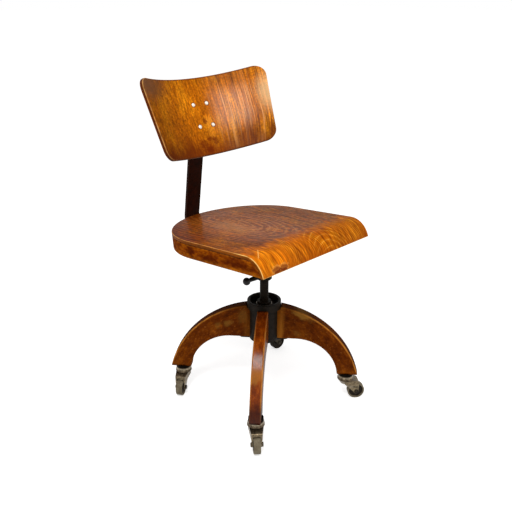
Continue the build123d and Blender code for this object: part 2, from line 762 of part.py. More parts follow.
# Caster: a sleeve in the foot, and a stem, fork, wheel, axle bolt and nut that swivel under it
def make_caster(corner):
    x, y = stem_centre(corner)
    side = radial_plane(caster_turn[corner], (x, y, 0))
    across = radial_plane(caster_turn[corner] + right_angle, (x, y, 0))
    plan = Plane((x, y, 0), x_dir=side.x_dir, z_dir=(0, 0, 1))
    upright = Axis((x, y, 0), (0, 0, 1))
    hub_centre = side.from_local_coords((caster_trail, wheel_radius, 0))
    axle = Axis(hub_centre, side.z_dir)

    with BuildPart() as sleeve:
        with BuildSketch(side):
            with BuildLine():
                Polyline(
                    (stem_radius + run_fit, foot_height - socket_flange),
                    (socket_flange_radius, foot_height - socket_flange),
                    (socket_flange_radius, foot_height),
                    (sleeve_radius, foot_height),
                    (sleeve_radius, stem_top + sleeve_cap),
                    (0, stem_top + sleeve_cap),
                    (0, stem_top + face_gap),
                    (stem_radius + run_fit, stem_top + face_gap),
                    close=True,
                )
            make_face()
        revolve(axis=upright)
    write(sleeve, f"caster_sleeve_{corner}")

    with BuildPart() as stem:
        with BuildSketch(Plane.XY.offset(crown_bottom - stem_head_height)):
            with Locations((x, y)):
                Circle(stem_head_radius)
        extrude(amount=stem_head_height)
        with BuildSketch(Plane.XY.offset(crown_bottom)):
            with Locations((x, y)):
                Circle(stem_radius)
        extrude(amount=stem_top - crown_bottom)
    write(stem, f"caster_stem_{corner}")

    with BuildPart() as fork:
        with BuildSketch(side):
            with Locations((fork_root_shift, crown_bottom + fork_root_lift)):
                Circle(fork_root_radius)
            with Locations((fork_shoulder_shift, shoulder_height)):
                Circle(fork_shoulder_radius)
            with Locations((caster_trail, wheel_radius)):
                Circle(fork_eye_radius)
            make_hull()
        extrude(amount=fork_shoulder_width / 2, both=True)
        with BuildSketch(across):
            with BuildLine():
                Polyline(
                    (0, 0),
                    (fork_outer, 0),
                    (fork_outer, fork_waist),
                    (fork_shoulder_width / 2, shoulder_height),
                    (fork_shoulder_width / 2, cup_top),
                    (0, cup_top),
                    close=True,
                )
            make_face()
            mirror(about=Plane.YZ)
            Rectangle(2 * fork_inner, 2 * crown_bottom, mode=Mode.SUBTRACT)
        extrude(amount=2 * caster_trail, both=True, mode=Mode.INTERSECT)
        with BuildSketch(plan):
            Circle(fork_shoulder_width / 2)
            with Locations((nose_reach, nose_side), (nose_reach, -nose_side)):
                Circle(fork_nose_corner)
            make_hull()
        extrude(amount=cup_top, mode=Mode.INTERSECT)
        with BuildSketch(side):
            with BuildLine():
                Polyline(
                    (0, crown_bottom),
                    (cup_base_radius, crown_bottom),
                    (cup_radius - cup_step, lip_top - cup_lip),
                    (cup_radius, lip_top - cup_lip + cup_step),
                    (cup_radius, lip_top),
                    (cup_top_radius, cup_top),
                    (0, cup_top),
                    close=True,
                )
            make_face()
        revolve(axis=upright)
        with BuildSketch(side):
            with Locations((caster_trail, wheel_radius)):
                Circle(axle_radius + seat_fit)
        extrude(amount=fork_outer, both=True, mode=Mode.SUBTRACT)
        with BuildSketch(Plane.XY.offset(crown_bottom)):
            with Locations((x, y)):
                Circle(stem_radius + seat_fit)
        extrude(amount=cup_top - crown_bottom, mode=Mode.SUBTRACT)
    write(fork, f"caster_fork_{corner}")

    half_tread = tread_width / 2
    half_hub = half_tread + wheel_hub_proud
    with BuildPart() as wheel:
        with BuildSketch(side):
            with Locations((caster_trail, wheel_radius)):
                Circle(wheel_radius)
        extrude(amount=half_tread, both=True)
        chamfer(wheel.edges(), tread_edge)
        for hand in (-1, 1):
            with BuildSketch(side.offset(hand * wheel_web / 2)):
                with Locations((caster_trail, wheel_radius)):
                    Circle(wheel_radius - rim_wall)
            extrude(amount=hand * half_tread, mode=Mode.SUBTRACT)
        with BuildSketch(side):
            with Locations((caster_trail, wheel_radius)):
                Circle(wheel_hub_radius)
        extrude(amount=half_hub, both=True)
        with BuildSketch(side):
            with Locations((caster_trail, wheel_radius)):
                Circle(axle_radius + run_fit)
        extrude(amount=half_hub, both=True, mode=Mode.SUBTRACT)
    write(wheel, f"caster_wheel_{corner}")

    with BuildPart() as bolt:
        with BuildSketch(side.offset(fork_outer)):
            with Locations((caster_trail, wheel_radius)):
                Circle(axle_head_radius)
        extrude(amount=axle_head_height)
        fillet(bolt.edges().sort_by(Axis(axle.position, axle.direction))[-1], axle_head_height * 0.75)
        with BuildSketch(side.offset(fork_outer)):
            with Locations((caster_trail, wheel_radius)):
                Circle(axle_radius)
        extrude(amount=-2 * fork_outer - axle_nut_height)
    write(bolt, f"caster_axle_{corner}")

    with BuildPart() as nut:
        with BuildSketch(side.offset(-fork_outer)):
            with Locations((caster_trail, wheel_radius)):
                RegularPolygon(axle_head_radius, 6)
                Circle(axle_radius + seat_fit, mode=Mode.SUBTRACT)
        extrude(amount=-axle_nut_height)
    write(nut, f"caster_nut_{corner}")


for corner in corners:
    make_caster(corner)
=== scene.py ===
import json
from math import acos, asin, cos, pi, radians, sin, sqrt

import bmesh
import bpy
from mathutils import Euler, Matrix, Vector


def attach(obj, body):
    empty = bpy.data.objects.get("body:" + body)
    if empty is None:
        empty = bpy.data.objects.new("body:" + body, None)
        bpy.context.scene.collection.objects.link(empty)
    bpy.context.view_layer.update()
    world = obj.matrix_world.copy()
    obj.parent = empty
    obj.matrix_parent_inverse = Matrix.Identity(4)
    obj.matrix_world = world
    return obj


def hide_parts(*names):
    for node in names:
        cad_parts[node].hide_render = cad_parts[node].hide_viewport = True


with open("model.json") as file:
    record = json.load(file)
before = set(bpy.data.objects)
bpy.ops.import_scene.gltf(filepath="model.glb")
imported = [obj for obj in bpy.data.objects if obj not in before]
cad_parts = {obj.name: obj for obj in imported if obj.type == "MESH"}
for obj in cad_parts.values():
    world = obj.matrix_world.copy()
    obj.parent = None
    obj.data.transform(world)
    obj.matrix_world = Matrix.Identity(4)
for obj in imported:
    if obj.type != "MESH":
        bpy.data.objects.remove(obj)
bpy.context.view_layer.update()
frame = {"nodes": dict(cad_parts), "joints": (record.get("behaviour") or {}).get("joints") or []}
corners = ("front_right", "front_left", "rear_left", "rear_right")

# Metres, +Z up, origin on the floor under the spindle, seat facing -Y

# Seat
SEAT_HEIGHT = 0.4925
SEAT_TILT = radians(6.3)
SEAT_HALF = 0.1875
SEAT_FRONT = 0.18
SEAT_STRAIGHT = 0.076
PANEL_THICK = 0.009
ROLL_RADIUS = 0.053
RIM_DEPTH = 0.045
RIM_THICK = 0.019
DISH_RADIUS = 0.150
DISH_DEPTH = 0.004
DISH_SHIFT = 0.030
SEAT_TOP_ROUND = 0.0021
SEAT_UNDER_ROUND = 0.0012
RIM_ROUND = 0.003
RIM_ROUND_SHARE = 0.4
RIM_END = 0.0006
RIM_LEVELS = (0.15, 0.4, 0.65)

# Backrest
BACK_POINT = Vector((0, 0.2263, 0.742))
BACK_TILT = radians(25.5)
BACK_THICK = 0.009
BACK_BEND = 0.335
BACK_ABOVE = 0.0988
BACK_BELOW = 0.1054
BACK_TOP_HALF = 0.2033
BACK_BOTTOM_HALF = 0.1832
BACK_TOP_CORNER = 0.033
BACK_BOTTOM_CORNER = 0.027
BACK_ROUND = 0.0026
RIVET_ACROSS = 0.044
RIVET_ALONG = 0.058

# Legs
LEG_TURN = radians(-139.9)
LEG_THICK = 0.0293
LEG_EDGE = 0.0035
ARCH_RADIUS = 0.2627
ARCH_CENTRE = 0.018
SOFFIT_HEIGHT = 0.1827
SOFFIT_START = 0.087
SOFFIT_RADIUS = 0.113
FOOT_HEIGHT = 0.0811
TENON_RADIUS = 0.0225
TENON_TOP = 0.2699
NECK_RADIUS = 0.0448

# Casters
# The caster at this corner is painted dark, as painted shade
SHADED_CORNER = "rear_left"
WHEEL_RADIUS = 0.0232
TREAD_HALF = 0.009
WHEEL_BORE = 0.00406
WHEEL_HUB = 0.008
WHEEL_RIM = 0.0187
WHEEL_EDGE = 0.0022
EDGE_BULGE = 0.3
WEB_HALF = 0.0035
WEB_ROUND = 0.0015
HUB_PROUD = 0.0005
HUB_ROUND = 0.0008
HUB_DRAFT = 0.0003
WHEEL_LIP = 0.0006
WHEEL_FILLET = 0.001
FORK_LOW = 0.0167
FORK_HIGH = 0.0747

# Rows and steps of the meshes
SEAT_COLUMNS, ROLL_ROWS, SIDE_ROWS, REAR_ROWS = 40, 20, 26, 30
REAR_END = radians(87.5)
SIDE_STATIONS, REAR_STATIONS = 40, 48
BACK_COLUMNS, CORNER_ROWS, BACK_ROWS = 48, 12, 26
LEG_STEPS = 44
WHEEL_STEPS = 56
ROUND_STEPS = 4
QUARTER_TURN = [pi / 2 * step / ROUND_STEPS for step in range(ROUND_STEPS + 1)]
NORMAL_WEIGHT = 50
MITRE_LEAST = 0.5

# Wear that the meshes carry, from 0 for sound lacquer to 1 for a rubbed edge
BORDER_WEAR = 0.1
UNDER_WEAR = 0.15
SIDE_WEAR = 0.25
RIM_TOP_WEAR = 0.3
RIM_EDGE_WEAR = 0.5

# Camera of the photograph, for a square picture
CAMERA_PLACE = Vector((-1.07653, -1.06821, 1.04919))
CAMERA_HEADING = radians(-44.278)
CAMERA_DOWN = radians(22.749)
CAMERA_LENS = 45.2013
CAMERA_SENSOR = 36
CAMERA_SHIFT = 0.0027

# Floor and world
FLOOR_HALF = 30
FLOOR_GREY = 0.8
FLOOR_GLOW = 0.6
WORLD_LIGHT = 0.55
WORLD_SEEN = 1.0


def tint(red, green, blue):
    """A linear colour from 8-bit screen levels."""
    levels = [level / 255 for level in (red, green, blue)]
    return tuple(v / 12.92 if v < 0.04045 else ((v + 0.055) / 1.055) ** 2.4 for v in levels) + (1.0,)


# Shader helpers
class Nodes:
    """A node tree with short ways to add and join nodes."""

    def __init__(self, tree):
        self.tree = tree

    def node(self, kind, settings=None, **sockets):
        made = self.tree.nodes.new(kind)
        for key, value in (settings or {}).items():
            setattr(made, key, value)
        for key, value in sockets.items():
            self.put(made.inputs[key.replace("_", " ")], value)
        return made

    def put(self, socket, value):
        if isinstance(value, bpy.types.NodeSocket):
            self.tree.links.new(value, socket)
        else:
            socket.default_value = value

    def math(self, operation, first, second=0.0):
        made = self.node("ShaderNodeMath", {"operation": operation})
        self.put(made.inputs[0], first)
        self.put(made.inputs[1], second)
        return made.outputs[0]

    def plus(self, first, second):
        return self.math("ADD", first, second)

    def less(self, first, second):
        return self.math("SUBTRACT", first, second)

    def times(self, first, second):
        return self.math("MULTIPLY", first, second)

    def absolute(self, value):
        return self.math("ABSOLUTE", value)

    def swing(self, noise, size):
        """A noise about 0 instead of about 0.5, brought to size."""
        return self.times(self.less(noise, 0.5), size)

    def blend(self, *shares):
        """Weighted sum of (value, weight) pairs."""
        total = None
        for value, weight in shares:
            part = self.times(value, weight)
            total = part if total is None else self.plus(total, part)
        return total

    def mix(self, factor, first, second, kind="MIX"):
        made = self.node("ShaderNodeMix", {"data_type": "RGBA", "blend_type": kind})
        self.put(made.inputs[0], factor)
        self.put(made.inputs[6], first)
        self.put(made.inputs[7], second)
        return made.outputs[2]

    def shaded(self, colour, *levels):
        """A colour made lighter or darker by each level in turn."""
        for level in levels:
            colour = self.mix(1.0, colour, self.join(level, level, level), "MULTIPLY")
        return colour

    def vector(self, operation, first, second):
        made = self.node("ShaderNodeVectorMath", {"operation": operation})
        self.put(made.inputs[0], first)
        self.put(made.inputs[1], second)
        return made

    def scaled(self, vector, x, y, z):
        return self.vector("MULTIPLY", vector, (x, y, z)).outputs[0]

    def moved(self, vector, x, y, z):
        return self.vector("ADD", vector, (x, y, z)).outputs[0]

    def length(self, vector):
        return self.vector("LENGTH", vector, (0, 0, 0)).outputs["Value"]

    def noise(self, place, scale, detail=3.0, roughness=0.58):
        vector = self.scaled(place, *scale)
        made = self.node("ShaderNodeTexNoise", Vector=vector, Scale=1.0, Detail=detail, Roughness=roughness)
        return made.outputs["Fac"]

    def ramp(self, value, *stops):
        made = self.node("ShaderNodeValToRGB", Fac=value)
        elements = made.color_ramp.elements
        while len(elements) < len(stops):
            elements.new(0.5)
        for element, (place, colour) in zip(elements, stops):
            element.position = place
            element.color = colour
        return made.outputs["Color"]

    def span(self, value, low, high, to_low=0.0, to_high=1.0, smooth=False):
        """A value's way from low to high, brought to another range and held at its ends."""
        made = self.node(
            "ShaderNodeMapRange", {"clamp": True, "interpolation_type": "SMOOTHSTEP" if smooth else "LINEAR"},
            Value=value, From_Min=low, From_Max=high, To_Min=to_low, To_Max=to_high,
        )
        return made.outputs["Result"]

    def spot(self, place, middle, reach, ragged, soft=0.35):
        """Mask of a blotch round a middle, with a ragged soft edge."""
        away = self.scaled(self.moved(place, -middle[0], -middle[1], 0), 1 / reach[0], 1 / reach[1], 0)
        return self.span(self.plus(self.length(away), ragged), 1 - soft, 1 + soft, 1.0, 0.0, True)

    def parts(self, vector):
        made = self.node("ShaderNodeSeparateXYZ", Vector=vector)
        return made.outputs[0], made.outputs[1], made.outputs[2]

    def join(self, x, y, z):
        return self.node("ShaderNodeCombineXYZ", X=x, Y=y, Z=z).outputs[0]

    def seen(self):
        """1 for rays that show the background: from the camera, off gloss or through glass."""
        path = self.node("ShaderNodeLightPath")
        found = path.outputs["Is Camera Ray"]
        for ray in ("Is Glossy Ray", "Is Transmission Ray"):
            found = self.math("MAXIMUM", found, path.outputs[ray])
        return found


class Shader(Nodes):
    """A material under construction."""

    def __init__(self, name):
        self.material = bpy.data.materials.new(name)
        self.material.use_nodes = True
        super().__init__(self.material.node_tree)
        self.surface = self.tree.nodes["Principled BSDF"]

    def set(self, **sockets):
        for key, value in sockets.items():
            self.put(self.surface.inputs[key.replace("_", " ")], value)

    def attribute(self, name):
        return self.node("ShaderNodeAttribute", {"attribute_name": name})

    def grain(self):
        return self.attribute("grain").outputs["Vector"]

    def wear(self):
        return self.attribute("wear").outputs["Fac"]

    def object_place(self):
        return self.node("ShaderNodeTexCoord").outputs["Object"]

    def bump(self, height, strength, distance=0.0004):
        made = self.node("ShaderNodeBump", Height=height, Strength=strength, Distance=distance)
        self.put(self.surface.inputs["Normal"], made.outputs["Normal"])


# Seat veneer: a top painted darker and browner than the roll as painted shade, growth lines over a golden
# roll, pale worn edges and the plies of the cut edge. Across runs to the sitter's left, along runs to the
# rear and depth is 0 at the top
def seat_wood():
    s = Shader("seat_veneer")
    grain = s.grain()
    across, along, depth = s.parts(grain)
    cloud = s.noise(grain, (17, 13, 0))
    flame = s.noise(grain, (70, 30, 0), 4.0)
    drift = s.swing(s.noise(grain, (9, 7, 0), 2.0), 0.05)
    flow = s.join(s.plus(across, drift), along, depth)
    streak = s.noise(flow, (190, 8, 20))
    fibre = s.noise(flow, (290, 20, 60), 4.0, 0.7)
    strand = s.noise(flow, (100, 5, 20))
    thread = s.noise(flow, (150, 7, 20))
    speckle = s.noise(grain, (110, 110, 0), 4.0, 0.7)
    ragged = s.swing(s.noise(grain, (190, 190, 0)), 1.6)
    tone = s.blend((streak, 0.25), (cloud, 0.45), (flame, 0.3))
    colour = s.ramp(tone, (0.32, tint(150, 68, 2)), (0.5, tint(194, 102, 6)), (0.68, tint(232, 144, 20)))
    # Painted light and shade: lighter at the sitter's right, darker towards the sitter's left
    colour = s.shaded(colour, s.span(across, -0.16, 0.13, 1.12, 0.76))

    # The top ends raggedly where the roll begins. Its painted shade is darkest at the sitter's right, but for
    # its front, and lighter in the middle; a painted shadow line runs where the roll begins
    edge_of_top = s.blend((along, 1), (s.less(cloud, 0.5), 0.06), (s.less(strand, 0.5), 0.11))
    on_top = s.span(edge_of_top, -0.122, -0.09, 0.0, 1.0, True)
    middle = s.spot(grain, (-0.01, 0.06), (0.12, 0.17), s.swing(flame, 1.2), 0.7)
    aside = s.mix(s.span(across, -0.04, 0.09), (0.12, 0.035, 0.02, 1), (0.44, 0.43, 0.2, 1))
    worn = s.mix(middle, aside, (0.53, 0.475, 0.24, 1))
    toward_front = s.blend((along, 1), (s.less(flame, 0.5), 0.12))
    at_front = s.span(toward_front, 0.0, 0.085, 1.0, 0.0, True)
    at_side = s.span(across, -0.145, -0.1, 1.0, 0.0, True)
    worn = s.mix(s.times(at_front, at_side), worn, (0.42, 0.4, 0.25, 1))
    colour = s.mix(on_top, colour, s.mix(1.0, colour, worn, "MULTIPLY"))
    shadow_line = s.span(s.absolute(s.plus(edge_of_top, 0.126)), 0.0, 0.016, 0.72, 1.0, True)
    colour = s.shaded(colour, shadow_line)

    # Growth lines: pale lines with dark hollows between them, boldest on the roll
    sway = s.noise(grain, (9, 4, 0), 2.0)
    wander = s.noise(grain, (60, 12, 0), 2.0)
    off_middle = s.less(across, 0.035)
    field = s.blend((s.times(off_middle, off_middle), 800), (along, 50), (sway, 2.4), (wander, 0.3))
    ripple = s.math("PINGPONG", field, 0.5)
    lines = s.span(ripple, 0.0, 0.13, 1.0, 0.0, True)
    hollows = s.span(ripple, 0.2, 0.5, 0.0, 1.0, True)
    bold = s.times(s.span(cloud, 0.4, 0.6, 0.25, 1.0), s.span(across, -0.14, -0.09, 0.2, 1.0))
    pale_line = s.times(s.times(lines, bold), s.span(on_top, 0.0, 1.0, 0.5, 0.18))
    colour = s.mix(pale_line, colour, s.mix(on_top, tint(240, 172, 62), tint(178, 116, 56)))
    hollows = s.times(s.times(hollows, bold), s.span(on_top, 0.0, 1.0, 0.26, 0.16))
    colour = s.shaded(colour, s.less(1.0, hollows))
    colour = s.shaded(colour, s.span(streak, 0.34, 0.66, 0.86, 1.12))
    dark_thread = s.times(s.span(thread, 0.53, 0.59, 0.0, 0.75), s.times(bold, s.less(1.0, on_top)))
    colour = s.mix(dark_thread, colour, tint(124, 52, 3))
    colour = s.shaded(colour, s.span(fibre, 0.34, 0.66, 0.54, 1.42))
    strands = s.shaded(colour, s.span(strand, 0.36, 0.64, 0.7, 1.25), s.span(speckle, 0.38, 0.62, 0.56, 1.42))
    colour = s.mix(on_top, colour, strands)

    # Rings round an eye behind the middle of the top
    eye = s.scaled(s.moved(grain, 0.01, -0.12, 0), 3, 1, 0)
    eye_field = s.blend((s.length(eye), 30), (sway, 3), (wander, 0.4))
    eye_ripple = s.math("PINGPONG", eye_field, 0.5)
    eye_weight = s.times(on_top, s.span(flame, 0.38, 0.6, 0.2, 0.6))
    eye_weight = s.times(eye_weight, s.span(middle, 0.0, 1.0, 0.4, 1.0))
    pale_ring = s.times(s.span(eye_ripple, 0.0, 0.2, 1.0, 0.0, True), eye_weight)
    colour = s.mix(pale_ring, colour, tint(178, 118, 58))
    dark_ring = s.times(s.span(eye_ripple, 0.3, 0.5, 0.0, 0.6, True), eye_weight)
    colour = s.shaded(colour, s.less(1.0, dark_ring))

    # A rubbed place, the reddish hem of the roll, its outlined stain and a pale scratch
    rubbed = s.spot(grain, (-0.035, 0.08), (0.03, 0.07), ragged, 0.6)
    colour = s.mix(s.times(rubbed, 0.3), colour, tint(170, 112, 52))
    hem = s.times(s.span(along, -0.206, -0.178, 0.6, 0.0, True), s.span(flame, 0.36, 0.6, 0.3, 1.0))
    colour = s.mix(hem, colour, tint(140, 52, 2))
    lumps = (
        ((-0.143, -0.1935), (0.0115, 0.0075)), ((-0.12, -0.194), (0.0125, 0.0075)),
        ((-0.131, -0.199), (0.022, 0.0045)),
    )
    outline_width = 0.003
    for centre, reach in lumps:
        outline = s.spot(grain, centre, [size + outline_width for size in reach], ragged, 0.2)
        colour = s.mix(s.times(outline, 0.4), colour, tint(244, 170, 78))
    for centre, reach in lumps:
        stain = s.spot(grain, centre, reach, ragged, 0.3)
        colour = s.mix(s.times(stain, 0.72), colour, tint(98, 20, 1))
    scratch_across, scratch_along = s.plus(across, 0.14), s.plus(along, 0.118)
    slope, rise = 0.666, 0.746
    beside = s.blend((scratch_across, rise), (scratch_along, -slope))
    onward = s.blend((scratch_across, -slope), (scratch_along, -rise))
    scratch = s.span(s.absolute(beside), 0.0006, 0.002, 0.42, 0.0, True)
    scratch = s.times(scratch, s.span(s.absolute(s.less(onward, 0.025)), 0.016, 0.027, 1.0, 0.0, True))
    colour = s.mix(scratch, colour, tint(250, 206, 116))

    # Plies under the face veneer, and chips along the edge
    veneer_bottom, veneer_top = -0.0023, -0.0017
    plies = s.ramp(
        s.span(depth, -PANEL_THICK, 0.0),
        (0.02, tint(104, 48, 6)), (0.1, tint(74, 28, 4)), (0.2, tint(134, 70, 8)), (0.38, tint(106, 50, 6)),
        (0.55, tint(146, 80, 12)), (0.74, tint(84, 34, 5)),
    )
    plies = s.shaded(plies, s.span(strand, 0.36, 0.64, 0.72, 1.3), s.span(fibre, 0.34, 0.66, 0.75, 1.25))
    colour = s.mix(s.span(depth, veneer_bottom, veneer_top, 1.0, 0.0), colour, plies)
    chips = s.span(s.noise(grain, (120, 60, 120)), 0.32, 0.55, 0.35, 1.0)
    on_roll = s.span(along, -0.11, -0.085, 1.0, 0.0)
    chipped = s.times(s.times(s.span(s.wear(), 0.3, 0.9), chips), s.span(on_roll, 0.0, 1.0, 0.8, 1.0))
    colour = s.mix(chipped, colour, s.mix(on_roll, tint(210, 142, 74), tint(244, 196, 112)))

    s.set(Base_Color=colour, Roughness=s.span(cloud, 0.3, 0.7, 0.42, 0.55), Specular_IOR_Level=0.02)
    glossy = s.times(s.span(flame, 0.36, 0.64, 0.12, 0.24), s.span(middle, 0.0, 1.0, 0.5, 1.0))
    glossy = s.times(glossy, s.span(across, -0.13, -0.04, 0.3, 1.0))
    s.set(Coat_Weight=s.times(on_top, glossy), Coat_Roughness=0.13)
    s.bump(s.plus(fibre, s.times(lines, 0.4)), 0.1)
    return s.material


# Back veneer: golden and finely pored at the sitter's right, streaked and glossier at the left, knots between
# and under the rivets. Along runs upwards and depth is 0 at the front
def back_wood():
    s = Shader("back_veneer")
    grain = s.grain()
    across, along, depth = s.parts(grain)
    lean = s.times(s.less(0.0, along), s.span(s.plus(along, 0.02), -0.09, 0.0, 0.16, 0.03))
    flow = s.join(s.plus(across, s.times(lean, s.span(across, 0.0, 0.12))), along, depth)
    cloud = s.noise(grain, (17, 8, 0))
    flame = s.noise(grain, (75, 16, 0), 4.0)
    pores = s.noise(grain, (210, 40, 60), 4.0, 0.7)
    streak = s.noise(flow, (190, 5, 20))
    fibre = s.noise(flow, (290, 16, 60), 4.0, 0.7)
    speckle = s.noise(grain, (170, 170, 0), 4.0, 0.7)
    ragged = s.swing(s.noise(grain, (230, 200, 0)), 2.2)
    streaked = s.span(s.plus(across, s.swing(cloud, 0.06)), -0.005, 0.085, 0.0, 1.0, True)
    tone = s.blend((cloud, 0.7), (flame, 0.3))
    colour = s.ramp(tone, (0.3, tint(134, 64, 2)), (0.5, tint(172, 94, 5)), (0.7, tint(206, 128, 16)))
    colour = s.shaded(colour, s.span(speckle, 0.36, 0.64, 0.66, 1.32))
    plain = s.shaded(colour, s.span(pores, 0.34, 0.66, 0.5, 1.46))
    striped = s.shaded(colour, s.span(fibre, 0.34, 0.66, 0.46, 1.5), s.span(streak, 0.4, 0.6, 0.72, 1.24))
    colour = s.mix(streaked, plain, striped)

    # Pale and brown streaks
    near_bright = s.span(s.absolute(s.less(across, 0.133)), 0.004, 0.03, 0.07, 0.0, True)
    pale = s.plus(s.noise(flow, (260, 5, 20)), near_bright)
    pale = s.times(s.span(pale, 0.54, 0.63), s.span(along, 0.03, 0.07, 0.55, 0.12))
    colour = s.mix(s.times(pale, streaked), colour, tint(238, 168, 100))
    brown = s.times(s.span(s.noise(flow, (170, 6, 10)), 0.54, 0.62), streaked)
    colour = s.mix(s.times(brown, 0.6), colour, tint(116, 50, 14))

    # Darker below and above, painted shade at the sitter's right with a painted dim reflection in its upper
    # corner, knots, a painted highlight by the sitter's left edge and dark rings round the rivets
    low = s.span(s.plus(along, s.swing(cloud, 0.07)), -0.1, -0.038, 1.0, 0.0, True)
    colour = s.mix(s.times(low, s.span(across, -0.02, 0.09, 0.85, 0.6)), colour, tint(98, 34, 2))
    colour = s.shaded(colour, s.span(along, 0.055, 0.095, 1.0, 0.78))
    # Painted shade towards the sitter's right, painted light from the middle to the left
    colour = s.shaded(colour, s.span(across, -0.17, 0.0, 0.62, 1.2, True))
    fading = s.times(streaked, s.span(along, -0.08, 0.02, 0.32, 0.0, True))
    colour = s.shaded(colour, s.less(1.0, fading))
    # A painted dim reflection in the upper corner at the sitter's right
    painted_dim_reflection = s.spot(grain, (-0.175, 0.085), (0.06, 0.035), s.times(ragged, 0.4), 0.6)
    colour = s.mix(s.times(painted_dim_reflection, 0.7), colour, tint(98, 62, 34))
    halo = s.spot(grain, (0.012, -0.018), (0.011, 0.012), ragged, 0.5)
    colour = s.mix(s.times(halo, 0.4), colour, tint(226, 144, 40))
    knots = (
        ((-0.001, -0.0165), (0.0065, 0.0075), 0.75), ((-0.002, 0.002), (0.008, 0.007), 0.3),
        ((0.001, -0.064), (0.013, 0.006), 0.7), ((0.013, -0.071), (0.008, 0.010), 0.7),
        ((-0.026, -0.074), (0.015, 0.011), 0.6), ((-0.012, -0.090), (0.013, 0.010), 0.7),
        ((-0.011, -0.052), (0.016, 0.014), 0.35),
    )
    for centre, reach, weight in knots:
        colour = s.mix(s.times(s.spot(grain, centre, reach, ragged, 0.4), weight), colour, tint(98, 30, 2))
    # A painted highlight by the edge at the sitter's left
    painted_highlight = s.spot(grain, (0.197, 0.022), (0.027, 0.042), s.times(ragged, 0.4), 0.7)
    colour = s.mix(s.times(painted_highlight, 0.5), colour, tint(250, 212, 152))
    ring_reach = (0.0068, 0.0068)
    for side in (-0.5, 0.5):
        for level in (-0.5, 0.5):
            ring = s.spot(grain, (side * RIVET_ACROSS, level * RIVET_ALONG), ring_reach, 0.0, 0.22)
            colour = s.mix(s.times(ring, 0.75), colour, tint(74, 34, 8))

    # Plies of the cut edge, dark lines along top and bottom, the lower one painted shade of the edge, and
    # chips, most at the sitter's right
    line_inner, line_outer = 0.0046, 0.003
    cut = s.ramp(
        s.span(depth, -BACK_THICK, 0.0),
        (0.12, tint(150, 84, 30)), (0.3, tint(70, 28, 8)), (0.5, tint(92, 40, 12)), (0.68, tint(54, 20, 6)),
    )
    on_cut = s.times(s.span(depth, -0.0027, -0.002, 1.0, 0.0), s.span(depth, -0.0085, -0.0075))
    colour = s.mix(on_cut, colour, cut)
    top_line = s.span(along, BACK_ABOVE - line_inner, BACK_ABOVE - line_outer, 0.0, 0.6)
    bottom_line = s.span(along, line_outer - BACK_BELOW, line_inner - BACK_BELOW, 0.6, 0.0)
    colour = s.mix(s.plus(top_line, bottom_line), colour, tint(84, 34, 5))
    chips = s.span(s.noise(grain, (120, 60, 120)), 0.4, 0.65, 0.2, 0.6)
    chipped = s.times(s.times(s.span(s.wear(), 0.3, 0.9), chips), s.span(across, -0.17, -0.14, 1.0, 0.15))
    colour = s.mix(chipped, colour, tint(226, 172, 104))

    sheen = s.times(streaked, s.span(along, -0.07, -0.01, 0.08, 1.0, True))
    sheen = s.times(sheen, s.span(along, 0.03, 0.08, 1.0, 0.15, True))
    s.set(Base_Color=colour, Roughness=s.span(cloud, 0.3, 0.7, 0.42, 0.55), Specular_IOR_Level=0.02)
    s.set(Coat_Weight=s.span(sheen, 0.0, 1.0, 0.01, 0.95), Coat_Roughness=0.2)
    s.bump(s.plus(fibre, streak), 0.1)
    return s.material


# Bent rim of the seat: gold-brown with dark stains, a rubbed lower edge and painted bounce light, lighter
# towards the bottom
def rim_wood():
    s = Shader("rim_wood")
    height, travelled, inset = s.parts(s.grain())
    place = s.join(travelled, height, inset)
    fibre = s.noise(place, (40, 330, 330))
    cloud = s.noise(place, (14, 40, 40))
    mottle = s.noise(place, (70, 110, 110), 4.0)
    ragged = s.swing(s.noise(place, (110, 190, 0)), 2.0)
    tone = s.blend((cloud, 0.5), (mottle, 0.5))
    colour = s.ramp(tone, (0.38, tint(88, 30, 1)), (0.5, tint(126, 55, 2)), (0.62, tint(164, 86, 6)))
    colour = s.shaded(colour, s.span(fibre, 0.3, 0.7, 0.74, 1.22))
    # Painted bounce light from the floor, lighter over the lowest part of the rim
    bounce_height = 0.014
    bounce_light = s.span(height, -RIM_DEPTH, bounce_height - RIM_DEPTH, 1.0, 0.0, True)
    colour = s.mix(s.times(bounce_light, s.span(cloud, 0.4, 0.6, 0.2, 0.7)), colour, tint(184, 106, 16))
    stains = (
        ((0.07, -0.022), (0.014, 0.014), 0.8), ((0.006, -0.031), (0.026, 0.008), 0.75),
        ((-0.1, -0.027), (0.05, 0.007), 0.75),
    )
    for centre, reach, weight in stains:
        colour = s.mix(s.times(s.spot(place, centre, reach, ragged, 0.7), weight), colour, tint(70, 16, 0))
    seam = s.span(height, -PANEL_THICK - 0.0022, -PANEL_THICK - 0.0006)
    colour = s.mix(s.times(seam, 0.8), colour, tint(48, 16, 6))
    colour = s.mix(s.times(s.wear(), s.span(mottle, 0.4, 0.6, 0.1, 0.6)), colour, tint(200, 130, 44))
    s.set(Base_Color=colour, Roughness=s.span(cloud, 0.3, 0.7, 0.38, 0.5), Specular_IOR_Level=0.0)
    s.set(Coat_Weight=0.02, Coat_Roughness=0.2)
    s.bump(s.plus(fibre, mottle), 0.08)
    return s.material
